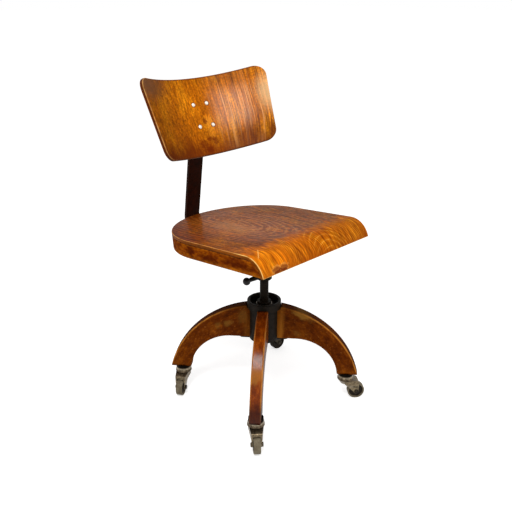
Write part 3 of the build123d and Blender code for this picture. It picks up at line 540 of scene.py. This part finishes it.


# Legs: mottled brown lacquer, rubbed pale along the outer edges and beside the hub. A leg with gloss also has
# an outer face painted brighter as painted light, and a dark foot; the other legs' outer faces are painted
# darker as painted shade
def leg_wood(name, shift, gloss, hub_wear, smudges_and_highlight):
    s = Shader(name)
    grain = s.grain()
    depth, travelled, aside = s.parts(grain)
    place = s.moved(grain, shift, shift, shift)
    fibre = s.noise(place, (330, 60, 330))
    speckle = s.noise(place, (300, 220, 300), 2.0)
    mottle = s.noise(place, (85, 60, 85), 4.0, 0.62)
    cloud = s.noise(place, (20, 14, 20))
    tone = s.blend((mottle, 0.4), (cloud, 0.4), (speckle, 0.2))
    colour = s.ramp(tone, (0.36, tint(62, 20, 1)), (0.5, tint(97, 42, 3)), (0.64, tint(134, 70, 10)))
    colour = s.shaded(colour, s.span(fibre, 0.3, 0.7, 0.76, 1.2))
    flecks = s.span(speckle, 0.66, 0.74, 0.0, 0.5)
    colour = s.mix(flecks, colour, tint(168, 112, 56))
    if not gloss:
        foot = s.span(s.plus(travelled, s.times(cloud, 0.03)), 0.27, 0.31, 0.0, 0.35)
        colour = s.mix(foot, colour, tint(150, 82, 14))
    for centre, reach, weight in smudges_and_highlight:
        mark = s.spot(s.join(travelled, depth, 0.0), centre, reach, s.swing(mottle, 3.2), 0.6)
        colour = s.mix(s.times(mark, weight), colour, tint(150, 104, 40))
    by_hub = s.span(s.plus(travelled, s.swing(mottle, 0.012)), 0.028, 0.040, hub_wear, 0.0, True)
    colour = s.mix(s.times(by_hub, s.span(depth, 0.01, 0.07, 0.35, 1.0)), colour, tint(164, 100, 30))
    # Outer face: painted light on a leg with gloss, painted shade on the others
    outer = s.span(depth, 0.0004, 0.0022, 1.0, 0.0)
    outer_light_and_shade = (1.45, 1.2, 1.0, 1) if gloss else (0.5, 0.5, 0.6, 1)
    colour = s.mix(outer, colour, s.mix(1.0, colour, outer_light_and_shade, "MULTIPLY"))
    arris = s.plus(depth, s.less(LEG_THICK / 2, s.absolute(aside)))
    uneven = s.swing(mottle, 0.006)
    rubbed = s.span(s.plus(arris, uneven), 0.0016, 0.0042, 1.0, 0.0, True)
    rubbed = s.times(rubbed, s.span(travelled, 0.04, 0.12, 0.15, 0.8))
    colour = s.mix(rubbed, colour, tint(192, 124, 46))
    colour = s.mix(s.times(s.wear(), 0.3), colour, tint(150, 92, 34))
    if gloss:
        colour = s.mix(s.span(travelled, 0.232, 0.256, 0.0, 0.85), colour, tint(46, 8, 1))
    s.set(Base_Color=colour, Roughness=s.span(cloud, 0.3, 0.7, 0.34, 0.46), Specular_IOR_Level=0.0)
    s.set(Coat_Weight=0.03 + gloss, Coat_Roughness=0.18)
    s.bump(s.plus(fibre, mottle), 0.1)
    return s.material


# Bare wood of the hidden boards
def bare_wood(name):
    s = Shader(name)
    place = s.object_place()
    fibre = s.noise(place, (12, 260, 260))
    band = s.noise(place, (3, 60, 60), 2.0)
    tone = s.blend((fibre, 0.5), (band, 0.5))
    s.set(Base_Color=s.ramp(tone, (0.38, tint(124, 84, 50)), (0.62, tint(176, 132, 88))))
    s.set(Roughness=s.span(fibre, 0.3, 0.7, 0.6, 0.8), Specular_IOR_Level=0.2)
    s.bump(fibre, 0.2)
    return s.material


# Metal or paint with grimy patches and a fine unevenness
def metal(name, clean, grimy, metallic, smooth, rough, patch_scale, specular=0.5, bump_strength=0.12):
    s = Shader(name)
    place = s.object_place()
    fine_scale = 7 * patch_scale
    patch = s.noise(place, [patch_scale] * 3, 4.0)
    fine = s.noise(place, [fine_scale] * 3)
    tone = s.blend((patch, 0.65), (fine, 0.35))
    grime = s.span(tone, 0.42, 0.58)
    s.set(Base_Color=s.mix(grime, clean, grimy), Roughness=s.span(tone, 0.38, 0.62, smooth, rough))
    s.set(Metallic=metallic, Specular_IOR_Level=specular)
    s.bump(fine, bump_strength)
    return s.material


# Plated casters: tarnished, with painted shade round the bowl and a painted highlight along the top of the
# cup
def painted_light_caster_plate(name):
    s = Shader(name)
    place = s.object_place()
    patch = s.noise(place, [150] * 3, 4.0)
    fine = s.noise(place, [500] * 3)
    height = s.plus(s.parts(place)[2], s.swing(patch, 0.005))
    # Bands by height: painted shade round the bowl and a painted highlight along the top of the cup
    colour = s.ramp(
        s.span(height, FORK_LOW, FORK_HIGH),
        (0.0, tint(92, 82, 64)), (0.48, tint(116, 104, 82)), (0.57, tint(94, 82, 63)),
        (0.7, tint(112, 99, 78)), (0.76, tint(70, 59, 45)), (0.84, tint(78, 66, 51)),
        (0.89, tint(98, 86, 68)), (0.94, tint(140, 129, 110)), (0.99, tint(72, 62, 48)),
    )
    s.set(Base_Color=s.shaded(colour, s.span(patch, 0.38, 0.62, 0.55, 1.35)), Metallic=0.9)
    s.set(Roughness=s.span(fine, 0.3, 0.7, 0.22, 0.4), Specular_IOR_Level=0.5)
    s.bump(fine, 0.1)
    return s.material


# Legs: shift of the grain, gloss, which also brings painted light to the outer face, wear by the hub, and
# pale smudges, each with its place and reach along the leg and below its outer edge, and its weight. The
# front right leg's smudge is a painted highlight
LEG_LOOKS = {
    # This smudge is a painted highlight that carries the gloss highlight further down the outer face
    "front_right": (0.0, 0.25, 0.0, (((0.182, 0.0), (0.016, 0.02), 0.5),)),
    "front_left": (
        3.1, 0.0, 0.9,
        (
            ((0.075, 0.062), (0.012, 0.007), 0.25),
            ((0.078, 0.006), (0.018, 0.009), 0.8),
        ),
    ),
    "rear_left": (6.2, 0.0, 0.4, ()),
    "rear_right": (
        9.3, 0.0, 0.25,
        (
            ((0.034, 0.03), (0.014, 0.016), 0.35),
            ((0.075, 0.038), (0.010, 0.008), 0.45),
            ((0.105, 0.034), (0.010, 0.007), 0.3),
        ),
    ),
}

# Metals and paints: clean and grimy colour, metallic, least and most roughness, scale of the patches,
# then specular and bump where they differ from metal()'s own
METAL_LOOKS = {
    "black_iron": (tint(28, 20, 11), tint(13, 9, 4), 0.0, 0.42, 0.6, 90, 0.08),
    "bar_paint": (tint(48, 18, 7), tint(32, 12, 4), 0.0, 0.34, 0.5, 60, 0.03, 0.05),
    "black_flange": (tint(16, 12, 8), tint(8, 6, 4), 0.0, 0.5, 0.7, 60, 0.02),
    # Dark grime on the axles and nuts; on the fork and stem of the caster at the shaded corner, painted shade
    "grime_and_shade_nickel": (tint(78, 69, 53), tint(26, 22, 16), 0.6, 0.4, 0.6, 60, 0.2),
    "dull_steel": (tint(140, 134, 124), tint(84, 76, 66), 0.9, 0.35, 0.55, 200),
    "bronze": (tint(168, 128, 72), tint(112, 84, 48), 0.9, 0.3, 0.5, 150),
    # Bright rivet metal; its near-white colour is a painted highlight
    "rivet_metal_and_highlight": (tint(250, 248, 242), tint(226, 220, 206), 0.2, 0.25, 0.4, 300, 0.5, 0.05),
    "ball_black": (tint(22, 20, 18), tint(14, 12, 11), 0.0, 0.2, 0.36, 120, 0.2, 0.04),
    "tread_grey": (tint(122, 113, 94), tint(100, 90, 72), 0.0, 0.5, 0.7, 70, 0.1),
    # The tread at the shaded corner, painted dark as painted shade
    "shaded_tread": (tint(52, 46, 36), tint(32, 27, 20), 0.0, 0.5, 0.7, 70, 0.1),
    "web_dark": (tint(26, 20, 14), tint(44, 36, 27), 0.0, 0.45, 0.65, 110, 0.1),
}

seat_veneer = seat_wood()
back_veneer = back_wood()
rim_veneer = rim_wood()
leg_woods = {corner: leg_wood(f"leg_wood_{corner}", *look) for corner, look in LEG_LOOKS.items()}
looks = {name: metal(name, *look) for name, look in METAL_LOOKS.items()}
looks["hidden_wood"] = bare_wood("hidden_wood")
looks["nickel"] = painted_light_caster_plate("nickel")

# Nodes that are shown as built
NODES_BY_LOOK = {
    "black_iron": (
        "hub", "hub_plate", "spindle", "spindle_collar", "spindle_end_nut", "seat_socket", "lock_nut",
        "lock_arm",
    ),
    "dull_steel": (
        "hub_plate_screws", "leg_screws", "thrust_washer", "socket_screws", "bar_bolts", "bar_nuts",
        "back_pin", "back_pin_nut",
    ),
    "bronze": ("spindle_bush",),
    "bar_paint": ("back_bar", "back_bracket"),
    "rivet_metal_and_highlight": ("back_rivets",),
    "ball_black": ("lock_ball",),
    "hidden_wood": ("front_bearer", "rear_bearer"),
}


def dress(node, look):
    """Give a CAD node its material."""
    slots = frame["nodes"][node].data.materials
    slots.clear()
    slots.append(looks[look])


for look, nodes in NODES_BY_LOOK.items():
    for node in nodes:
        dress(node, look)
for corner in corners:
    # The caster at the shaded corner is painted dark, as painted shade
    plate = "grime_and_shade_nickel" if corner == SHADED_CORNER else "nickel"
    dress(f"caster_sleeve_{corner}", "black_flange")
    dress(f"caster_stem_{corner}", plate)
    dress(f"caster_fork_{corner}", plate)
    dress(f"caster_axle_{corner}", "grime_and_shade_nickel")
    dress(f"caster_nut_{corner}", "grime_and_shade_nickel")


# Mesh helpers
def add_piece(name, points, faces, body, stands_for, materials, grain=None, wear=None, face_slots=None):
    """A closed mesh piece that rides on a body and stands for CAD nodes."""
    mesh = bpy.data.meshes.new(name)
    mesh.from_pydata([tuple(p) for p in points], [], faces)
    for material in materials:
        mesh.materials.append(material)
    for polygon in mesh.polygons:
        polygon.use_smooth = True
        if face_slots:
            polygon.material_index = face_slots[polygon.index]
    if grain:
        layer = mesh.attributes.new("grain", "FLOAT_VECTOR", "POINT")
        layer.data.foreach_set("vector", [value for point in grain for value in point])
    if wear:
        layer = mesh.attributes.new("wear", "FLOAT", "POINT")
        layer.data.foreach_set("value", wear)
    shape = bmesh.new()
    shape.from_mesh(mesh)
    bmesh.ops.recalc_face_normals(shape, faces=shape.faces)
    shape.to_mesh(mesh)
    shape.free()
    piece = bpy.data.objects.new(name, mesh)
    bpy.context.scene.collection.objects.link(piece)
    piece.modifiers.new("even_shading", "WEIGHTED_NORMAL").weight = NORMAL_WEIGHT
    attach(piece, body)
    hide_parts(*stands_for)


def edge_loops(thickness, top_round, bottom_round):
    """Inset, height and wear of the loops round a sheet's edge, between its top face and its underside."""
    loops = []
    for turn in QUARTER_TURN[1:]:
        worn = sin(2 * turn) if turn < pi / 2 else SIDE_WEAR
        loops.append((top_round * (1 - sin(turn)), -top_round * (1 - cos(turn)), worn))
    for turn in QUARTER_TURN[:-1]:
        loops.append((bottom_round * (1 - cos(turn)), bottom_round * (1 - sin(turn)) - thickness, UNDER_WEAR))
    return loops


def sheet(sides, columns, thickness, top_round, bottom_round, place):
    """A sheet with rounded edges. Sides lists half widths and places along it, from first row to last."""
    rows = len(sides)
    order = [(0, column) for column in range(columns + 1)]
    order += [(row, columns) for row in range(1, rows)]
    order += [(rows - 1, column) for column in range(columns - 1, -1, -1)]
    order += [(row, 0) for row in range(rows - 2, 0, -1)]
    flat = [Vector((sides[row][0] * (2 * column / columns - 1), sides[row][1])) for row, column in order]
    outward = []
    for index, point in enumerate(flat):
        before = point - flat[index - 1]
        after = flat[(index + 1) % len(flat)] - point
        first = Vector((before.y, -before.x)).normalized()
        second = Vector((after.y, -after.x)).normalized()
        middle = (first + second).normalized()
        outward.append(middle / max(MITRE_LEAST, middle.dot(first)))

    points, grain, wear, faces = [], [], [], []

    def put(spot, height, worn):
        points.append(place(spot.x, spot.y, height))
        grain.append((spot.x, spot.y, height))
        wear.append(worn)
        return len(points) - 1

    def face_grid(inset, height, worn):
        edge = {key: spot - out * inset for key, spot, out in zip(order, flat, outward)}
        ids = {}
        for row in range(rows):
            for column in range(columns + 1):
                spot = edge.get((row, column))
                border = spot is not None
                if not border:
                    spot = edge[row, 0].lerp(edge[row, columns], column / columns)
                ids[row, column] = put(spot, height, worn if border else 0.0)
        for row in range(rows - 1):
            for column in range(columns):
                cell = ((row, column), (row, column + 1), (row + 1, column + 1), (row + 1, column))
                faces.append(tuple(ids[key] for key in cell))
        return [ids[key] for key in order]

    loop = face_grid(top_round, 0.0, BORDER_WEAR)
    for inset, height, worn in edge_loops(thickness, top_round, bottom_round):
        next_loop = [put(spot - out * inset, height, worn) for spot, out in zip(flat, outward)]
        stitch(faces, loop, next_loop)
        loop = next_loop
    stitch(faces, loop, face_grid(bottom_round, -thickness, 0.0))
    return points, faces, grain, wear


def stitch(faces, first, second):
    """Quads between two closed loops of the same length."""
    count = len(first)
    for index in range(count):
        after = (index + 1) % count
        faces.append((first[index], first[after], second[after], second[index]))


def loft(sections):
    """Quads between closed sections of the same length, with flat ends."""
    points = [point for section in sections for point in section]
    count = len(sections[0])
    faces = []
    for number in range(len(sections) - 1):
        first = list(range(number * count, (number + 1) * count))
        second = list(range((number + 1) * count, (number + 2) * count))
        stitch(faces, first, second)
    faces.append(tuple(range(count)))
    faces.append(tuple(range(len(points) - count, len(points))))
    return points, faces


# Seat
seat_along = Vector((0, cos(SEAT_TILT), -sin(SEAT_TILT)))
seat_up = Vector((0, sin(SEAT_TILT), cos(SEAT_TILT)))
roll_angle = acos(1 - RIM_DEPTH / ROLL_RADIUS)
roll_start = -SEAT_FRONT + ROLL_RADIUS * sin(roll_angle)
inner_roll = ROLL_RADIUS - PANEL_THICK
dish_sphere = (DISH_RADIUS**2 + DISH_DEPTH**2) / (2 * DISH_DEPTH)


def seat_point(x, along, up):
    """A point of the seat's own frame in the world's."""
    return Vector((x, 0, SEAT_HEIGHT)) + seat_along * along + seat_up * up


def dish(x, along):
    """How far the seat is hollowed under a point."""
    away = x**2 + (along - DISH_SHIFT) ** 2
    return max(0.0, sqrt(dish_sphere**2 - min(away, dish_sphere**2)) - dish_sphere + DISH_DEPTH)


def on_panel(x, along, height):
    """A point of the flat veneer, bent over the roll and hollowed."""
    if along >= roll_start:
        hollow = dish(x, along) if height > -PANEL_THICK / 2 else 0.0
        return seat_point(x, along, height - hollow)
    turn = (roll_start - along) / ROLL_RADIUS
    reach = ROLL_RADIUS + height
    return seat_point(x, roll_start - reach * sin(turn), reach * cos(turn) - ROLL_RADIUS)


roll_length = ROLL_RADIUS * roll_angle
sides = [(SEAT_HALF, roll_start - roll_length * (1 - row / ROLL_ROWS)) for row in range(ROLL_ROWS)]
sides += [
    (SEAT_HALF, roll_start + (SEAT_STRAIGHT - roll_start) * row / SIDE_ROWS) for row in range(SIDE_ROWS)
]
for row in range(REAR_ROWS + 1):
    turn = REAR_END * row / REAR_ROWS
    sides.append((SEAT_HALF * cos(turn), SEAT_STRAIGHT + SEAT_HALF * sin(turn)))
points, faces, grain, wear = sheet(
    sides, SEAT_COLUMNS, PANEL_THICK, SEAT_TOP_ROUND, SEAT_UNDER_ROUND, on_panel,
)
add_piece("seat_veneer", points, faces, "seat", ["seat_panel"], [seat_veneer], grain, wear)


def rim_top(along):
    """Height of the rim's upper edge, which follows the underside of the panel."""
    if along >= roll_start:
        return -PANEL_THICK
    return sqrt(inner_roll**2 - (roll_start - along) ** 2) - ROLL_RADIUS


# The rim's path from the sitter's right front round to the left front: outward direction, place and distance
# travelled of each station
rim_front = roll_start - sqrt(inner_roll**2 - (ROLL_RADIUS - RIM_DEPTH) ** 2)
stations = []
side_length = SEAT_STRAIGHT - rim_front - RIM_END
for step in range(SIDE_STATIONS):
    along = rim_front + RIM_END + side_length * step / SIDE_STATIONS
    stations.append((Vector((-1, 0)), Vector((-SEAT_HALF, along)), along))
for step in range(REAR_STATIONS + 1):
    turn = pi - pi * step / REAR_STATIONS
    out = Vector((cos(turn), sin(turn)))
    travelled = SEAT_STRAIGHT + SEAT_HALF * (pi - turn)
    stations.append((out, Vector((0, SEAT_STRAIGHT)) + out * SEAT_HALF, travelled))
for step in range(SIDE_STATIONS):
    along = SEAT_STRAIGHT - side_length * (step + 1) / SIDE_STATIONS
    travelled = pi * SEAT_HALF + 2 * SEAT_STRAIGHT - along
    stations.append((Vector((1, 0)), Vector((SEAT_HALF, along)), travelled))

sections, grain, wear = [], [], []
for out, spot, travelled in stations:
    top = rim_top(spot.y)
    tall = top + RIM_DEPTH
    bend = min(RIM_ROUND, tall * RIM_ROUND_SHARE)
    profile = [(0.0, top, RIM_TOP_WEAR)]
    profile += [(0.0, top - tall * share, 0.0) for share in RIM_LEVELS]
    for turn in QUARTER_TURN:
        worn = SIDE_WEAR + RIM_EDGE_WEAR * sin(2 * turn)
        profile.append((bend * (1 - cos(turn)), bend * (1 - sin(turn)) - RIM_DEPTH, worn))
    profile += [(RIM_THICK - bend, -RIM_DEPTH, BORDER_WEAR), (RIM_THICK, bend - RIM_DEPTH, BORDER_WEAR)]
    profile += [(RIM_THICK, top, 0.0)]
    section = []
    for inset, height, worn in profile:
        flat = spot - out * inset
        section.append(seat_point(flat.x, flat.y, height))
        grain.append((height, travelled, inset))
        wear.append(worn)
    sections.append(section)
points, faces = loft(sections)
add_piece("seat_band", points, faces, "seat", ["seat_rim"], [rim_veneer], grain, wear)

# Backrest
back_up = Vector((0, sin(BACK_TILT), cos(BACK_TILT)))
back_front = Vector((0, -cos(BACK_TILT), sin(BACK_TILT)))


def on_back(x, along, height):
    """A point of the flat back veneer, bent to its hollow. Height 0 is the front face."""
    turn = asin(x / BACK_BEND)
    reach = BACK_BEND - height
    hollow = back_front * (BACK_BEND - reach * cos(turn))
    return BACK_POINT + Vector((reach * sin(turn), 0, 0)) + back_up * along + hollow


def back_half(along):
    """Half width of the back panel with no rounding of its corners."""
    share = (along + BACK_BELOW) / (BACK_ABOVE + BACK_BELOW)
    return BACK_BOTTOM_HALF + (BACK_TOP_HALF - BACK_BOTTOM_HALF) * share


sides = []
for row in range(CORNER_ROWS):
    turn = pi / 2 * row / CORNER_ROWS
    along = -BACK_BELOW + BACK_BOTTOM_CORNER * (1 - cos(turn))
    sides.append((back_half(along) - BACK_BOTTOM_CORNER * (1 - sin(turn)), along))
lower = -BACK_BELOW + BACK_BOTTOM_CORNER
upper = BACK_ABOVE - BACK_TOP_CORNER
for row in range(BACK_ROWS):
    along = lower + (upper - lower) * row / BACK_ROWS
    sides.append((back_half(along), along))
for row in range(CORNER_ROWS + 1):
    turn = pi / 2 * row / CORNER_ROWS
    along = upper + BACK_TOP_CORNER * sin(turn)
    sides.append((back_half(along) - BACK_TOP_CORNER * (1 - cos(turn)), along))
points, faces, grain, wear = sheet(sides, BACK_COLUMNS, BACK_THICK, BACK_ROUND, BACK_ROUND, on_back)
add_piece("back_veneer", points, faces, "backrest", ["back_panel"], [back_veneer], grain, wear)


# Legs
def leg_profile():
    """Pairs of outer and inner points of a leg's side view, from the tenon to the foot."""
    pairs = [
        (Vector((TENON_RADIUS, TENON_TOP)), Vector((TENON_RADIUS, SOFFIT_HEIGHT))),
        (Vector((NECK_RADIUS, TENON_TOP)), Vector((NECK_RADIUS, SOFFIT_HEIGHT))),
    ]
    neck = acos(NECK_RADIUS / ARCH_RADIUS)
    foot = asin((FOOT_HEIGHT - ARCH_CENTRE) / ARCH_RADIUS)
    soffit_centre = SOFFIT_HEIGHT - SOFFIT_RADIUS
    soffit_turn = pi / 2 - asin((FOOT_HEIGHT - soffit_centre) / SOFFIT_RADIUS)
    straight = SOFFIT_START - NECK_RADIUS
    length = straight + SOFFIT_RADIUS * soffit_turn
    for step in range(LEG_STEPS + 1):
        share = step / LEG_STEPS
        turn = neck + (foot - neck) * share
        outer = Vector((ARCH_RADIUS * cos(turn), ARCH_CENTRE + ARCH_RADIUS * sin(turn)))
        way = length * share
        if way < straight:
            inner = Vector((NECK_RADIUS + way, SOFFIT_HEIGHT))
        else:
            bend = (way - straight) / SOFFIT_RADIUS
            inner = Vector((SOFFIT_START, soffit_centre)) + Vector((sin(bend), cos(bend))) * SOFFIT_RADIUS
        pairs.append((outer, inner))
    return pairs


def make_leg(corner, direction):
    """A leg board with rounded edges. Its grain runs by depth below the outer edge, way and width."""
    ahead = Vector((cos(direction), sin(direction), 0))
    aside = Vector((-sin(direction), cos(direction), 0))
    half = LEG_THICK / 2
    sections, grain, wear = [], [], []
    travelled = 0.0
    last_middle = None
    for outer, inner in leg_profile():
        tall = (outer - inner).length
        down = (inner - outer).normalized()
        middle = (outer + inner) / 2
        if last_middle is not None:
            travelled += (middle - last_middle).length
        last_middle = middle
        ring = []
        for side, end in ((-1, 0), (1, 0), (1, 1), (-1, 1)):
            for turn in QUARTER_TURN:
                if side * (1 - 2 * end) > 0:
                    first, second = 1 - sin(turn), 1 - cos(turn)
                else:
                    first, second = 1 - cos(turn), 1 - sin(turn)
                ring.append((side * (half - LEG_EDGE * first), end, LEG_EDGE * second, sin(2 * turn)))
        section = []
        for aside_by, end, inset, worn in ring:
            depth = inset if end == 0 else tall - inset
            flat = outer + down * depth
            section.append(ahead * flat.x + aside * aside_by + Vector((0, 0, flat.y)))
            grain.append((depth, travelled, aside_by))
            wear.append(0.0 if end == 0 else worn)
        sections.append(section)
    points, faces = loft(sections)
    add_piece(
        f"leg_board_{corner}", points, faces, "base", [f"leg_{corner}"],
        [leg_woods[corner]], grain, wear,
    )


for number, corner in enumerate(corners):
    make_leg(corner, LEG_TURN + number * pi / 2)


# Wheels: a grey tread on a dark recessed web with a hub
joints = {joint["name"]: joint for joint in frame["joints"]}

# Half of a wheel's section, from the bore to the tread: radius, half width and look
TREAD, WEB = 0, 1
hub_half = TREAD_HALF + HUB_PROUD
bulge = WHEEL_EDGE * EDGE_BULGE
wheel_half = [
    (WHEEL_BORE, hub_half, WEB), (WHEEL_HUB - HUB_ROUND, hub_half, WEB),
    (WHEEL_HUB, hub_half - HUB_ROUND, WEB),
    (WHEEL_HUB + HUB_DRAFT, WEB_HALF + WHEEL_FILLET, WEB), (WHEEL_HUB + WEB_ROUND, WEB_HALF, WEB),
    (WHEEL_RIM - WEB_ROUND, WEB_HALF, WEB), (WHEEL_RIM, WEB_HALF + WEB_ROUND, WEB),
    (WHEEL_RIM + WHEEL_LIP, TREAD_HALF - WHEEL_LIP, TREAD),
    (WHEEL_RIM + WHEEL_LIP + WHEEL_FILLET, TREAD_HALF, TREAD),
    (WHEEL_RADIUS - WHEEL_EDGE, TREAD_HALF, TREAD), (WHEEL_RADIUS - bulge, TREAD_HALF - bulge, TREAD),
    (WHEEL_RADIUS, TREAD_HALF - WHEEL_EDGE, TREAD),
]


def make_wheel(corner):
    """A wheel turned about its joint's axis."""
    joint = joints[f"wheel_spin_{corner}"]
    centre = Vector(joint["pos_m"])
    axis = Vector(joint["axis"]).normalized()
    side = Vector((0, 0, 1))
    ahead = axis.cross(side)
    profile = wheel_half + [(radius, -width, look) for radius, width, look in reversed(wheel_half)]
    points, faces, face_looks = [], [], []
    for radius, width, _ in profile:
        for step in range(WHEEL_STEPS):
            turn = 2 * pi * step / WHEEL_STEPS
            points.append(centre + axis * width + (ahead * cos(turn) + side * sin(turn)) * radius)
    for number in range(len(profile)):
        after = (number + 1) % len(profile)
        first = list(range(number * WHEEL_STEPS, (number + 1) * WHEEL_STEPS))
        second = list(range(after * WHEEL_STEPS, (after + 1) * WHEEL_STEPS))
        stitch(faces, first, second)
        face_looks += [min(profile[number][2], profile[after][2])] * WHEEL_STEPS
    # The wheel at the shaded corner gets a tread painted dark, as painted shade
    add_piece(
        f"wheel_{corner}", points, faces, f"wheel_{corner}", [f"caster_wheel_{corner}"],
        [looks["shaded_tread" if corner == SHADED_CORNER else "tread_grey"], looks["web_dark"]],
        face_slots=face_looks,
    )


for corner in corners:
    make_wheel(corner)

# Floor: grey as a surface, with a glow where it is seen that brings it to white
floor_mesh = bpy.data.meshes.new("floor")
floor_corners = [(x * FLOOR_HALF, y * FLOOR_HALF, 0) for x, y in ((-1, -1), (1, -1), (1, 1), (-1, 1))]
floor_mesh.from_pydata(floor_corners, [], [(0, 1, 2, 3)])
floor = bpy.data.objects.new("floor", floor_mesh)
bpy.context.scene.collection.objects.link(floor)
s = Shader("floor_white")
s.set(Base_Color=(FLOOR_GREY, FLOOR_GREY, FLOOR_GREY, 1), Roughness=0.9, Specular_IOR_Level=0.0)
glow = s.node("ShaderNodeEmission", Color=(1, 1, 1, 1), Strength=s.times(s.seen(), FLOOR_GLOW))
both = s.node("ShaderNodeAddShader")
s.put(both.inputs[0], s.surface.outputs[0])
s.put(both.inputs[1], glow.outputs[0])
s.put(s.tree.nodes["Material Output"].inputs["Surface"], both.outputs[0])
floor_mesh.materials.append(s.material)

# World: white where it is seen, softer as light
world = bpy.data.worlds.new("studio")
bpy.context.scene.world = world
world.use_nodes = True
sky = Nodes(world.node_tree)
background = sky.tree.nodes["Background"]
sky.put(background.inputs["Color"], (1, 1, 1, 1))
sky.put(background.inputs["Strength"], sky.span(sky.seen(), 0.0, 1.0, WORLD_LIGHT, WORLD_SEEN))


# Soft lamps
def lamp(name, place, target, width, height, power, colour):
    """A rectangular lamp that faces its target. Power is in watts."""
    data = bpy.data.lights.new(name, "AREA")
    data.shape = "RECTANGLE"
    data.size = width
    data.size_y = height
    data.energy = power
    data.color = colour
    made = bpy.data.objects.new(name, data)
    made.location = place
    made.rotation_euler = (Vector(target) - Vector(place)).to_track_quat("-Z", "Y").to_euler()
    bpy.context.scene.collection.objects.link(made)


lamp(
    "front_window", place=(0.7, -2.3, 2.1), target=(0, 0, 0.5), width=1.8, height=1.2, power=18,
    colour=(1, 0.97, 0.94),
)
lamp(
    "high_window", place=(-1.04, -0.65, 2.14), target=(0, 0, 0.35), width=0.5, height=0.6, power=24,
    colour=(1, 0.96, 0.92),
)

# Camera
view = bpy.data.cameras.new("camera")
view.lens = CAMERA_LENS
view.sensor_width = CAMERA_SENSOR
view.shift_x = CAMERA_SHIFT
camera = bpy.data.objects.new("camera", view)
camera.location = CAMERA_PLACE
camera.rotation_euler = Euler((pi / 2 - CAMERA_DOWN, 0, CAMERA_HEADING))
bpy.context.scene.collection.objects.link(camera)
bpy.context.scene.camera = camera
bpy.context.scene.view_settings.view_transform = "Standard"
